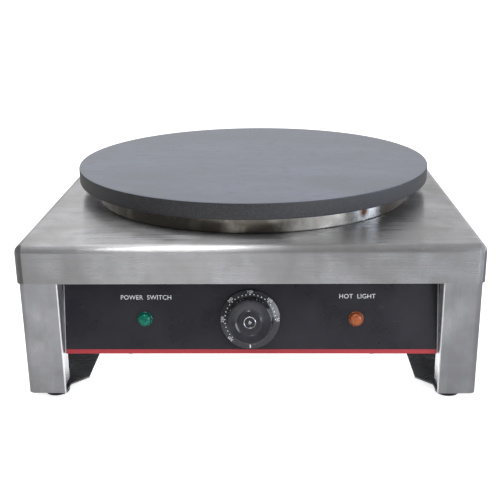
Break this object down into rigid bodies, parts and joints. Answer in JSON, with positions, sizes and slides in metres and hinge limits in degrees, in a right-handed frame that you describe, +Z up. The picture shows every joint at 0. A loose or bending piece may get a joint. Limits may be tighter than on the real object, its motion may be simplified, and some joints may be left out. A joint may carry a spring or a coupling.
{
  "type": "electric crepe maker",
  "caption": "Electric crepe maker: round cast-iron griddle plate on a low square stainless-steel body with a tilted control panel, a turning thermostat knob and pilot lamps.",
  "frame": {"origin": "On the table under the centre of the griddle plate, at the underside of the rubber feet.", "axes": "+X to the right seen from the front, +Y to the back, +Z up; the control panel faces -Y."},
  "size_m": [0.45, 0.4484, 0.1995],
  "materials": {
    "brushed_stainless": "satin",
    "plain_stainless": "satin",
    "cast_iron": "machined",
    "overlay_film": "semi-gloss",
    "red_film": "semi-gloss",
    "knob_plastic": "satin",
    "badge_chrome": "polished",
    "insert_brass": "machined",
    "spindle_steel": "machined",
    "lens_green": "gloss",
    "lens_amber": "gloss",
    "black_nylon": "satin",
    "thermostat_moulding": "satin",
    "terminal_moulding": "satin",
    "zinc_steel": "zinc plated",
    "element_sheath": "oxidised",
    "white_ceramic": "glazed",
    "tinned_brass": "tinned",
    "sensor_copper": "drawn",
    "ceramic_fibre": "matt",
    "live_insulation": "matt",
    "neutral_insulation": "matt",
    "earth_insulation": "matt",
    "foot_rubber": "matt"
  },
  "bodies": {
    "chassis": {"top_cover": "brushed_stainless", "left_side_panel": "brushed_stainless", "right_side_panel": "brushed_stainless", "front_panel": "brushed_stainless", "plate_collar": "brushed_stainless", "rear_panel": "plain_stainless", "base_pan": "plain_stainless", "heat_bowl": "plain_stainless", "element_clamp": "plain_stainless", "reflector_disc": "plain_stainless", "spacer_sleeves": "plain_stainless", "griddle_plate": "cast_iron", "panel_overlay": "overlay_film", "red_stripe": "red_film", "pole_screws": "insert_brass", "green_lamp_lens": "lens_green", "amber_lamp_lens": "lens_amber", "green_lamp_body": "black_nylon", "amber_lamp_body": "black_nylon", "lamp_clips": "black_nylon", "cable_gland": "black_nylon", "gland_locknut": "black_nylon", "thermostat_body": "thermostat_moulding", "terminal_block": "terminal_moulding", "plate_studs": "zinc_steel", "clamp_nuts": "zinc_steel", "stud_nuts": "zinc_steel", "rim_screws": "zinc_steel", "rim_nuts": "zinc_steel", "thermostat_screws": "zinc_steel", "earth_stud": "zinc_steel", "earth_nut": "zinc_steel", "foot_screws": "zinc_steel", "foot_nuts": "zinc_steel", "cover_studs": "zinc_steel", "cover_nuts": "zinc_steel", "pan_screws": "zinc_steel", "bulb_clip": "zinc_steel", "heating_element": "element_sheath", "element_bushes": "white_ceramic", "element_tabs": "tinned_brass", "thermostat_tabs": "tinned_brass", "lamp_pins": "tinned_brass", "sensor_bulb": "sensor_copper", "capillary_tube": "sensor_copper", "insulation_disc": "ceramic_fibre", "live_lead": "live_insulation", "element_lead": "live_insulation", "neutral_lead": "neutral_insulation", "earth_lead": "earth_insulation", "foot_front_left": "foot_rubber", "foot_front_right": "foot_rubber", "foot_rear_left": "foot_rubber", "foot_rear_right": "foot_rubber"},
    "control_knob": {"knob": "knob_plastic", "knob_badge": "badge_chrome", "knob_insert": "insert_brass", "thermostat_spindle": "spindle_steel"}
  },
  "joints": [
    {"name": "knob_turn", "type": "hinge", "parent": "chassis", "child": "control_knob", "pos_m": [0, -0.201, 0.08221], "axis": [0, 0.9774, -0.2113], "range_deg": [-180, 135]}
  ]
}
